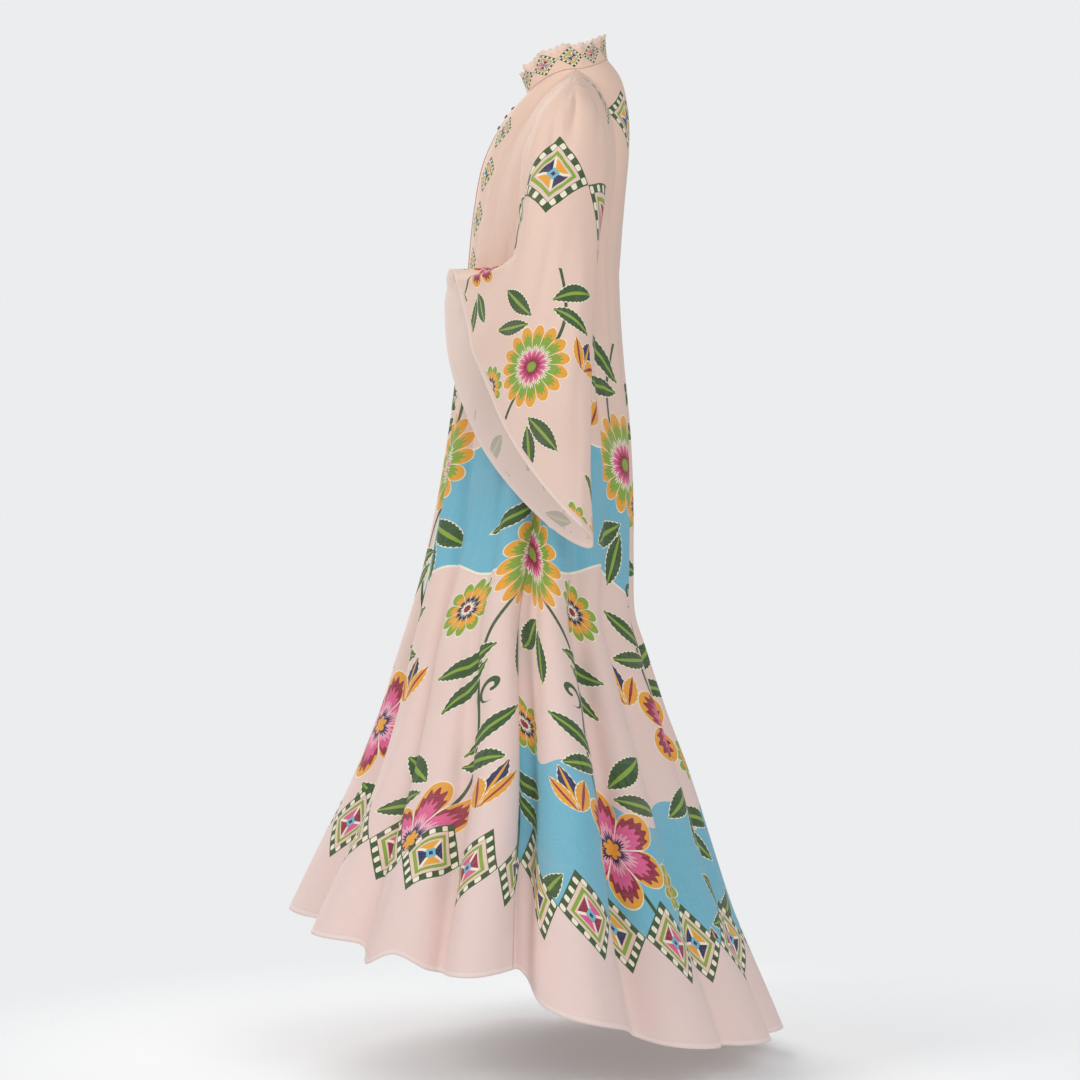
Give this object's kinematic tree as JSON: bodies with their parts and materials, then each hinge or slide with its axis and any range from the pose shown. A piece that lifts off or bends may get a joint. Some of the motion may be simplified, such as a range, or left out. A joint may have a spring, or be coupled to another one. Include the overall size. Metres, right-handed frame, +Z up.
{
  "type": "maxi dress",
  "caption": "Worn trapeze maxi dress in printed linen, with a frilled stand collar, wide bell sleeves, a kicked front hem and a trailing back hem.",
  "frame": {"origin": "middle of the wearer's neck, level with the inner ends of the shoulder seams' line", "axes": "+Z up, the front faces -Y, the wearer's left side is +X"},
  "size_m": [0.8343, 0.6958, 1.4097],
  "materials": {
    "printed_linen": "matte plain weave, blush ground with a many-coloured floral and lozenge print",
    "banded_linen": "matte plain weave, blush ground with small printed lozenges",
    "button": "dark, low sheen"
  },
  "bodies": {
    "root": {"front_left": "printed_linen", "front_right": "printed_linen", "back": "printed_linen", "sleeve_left": "printed_linen", "sleeve_right": "printed_linen", "collar": "banded_linen", "front_placket": "banded_linen", "button_1": "button", "button_2": "button", "button_3": "button"}
  },
  "joints": []
}
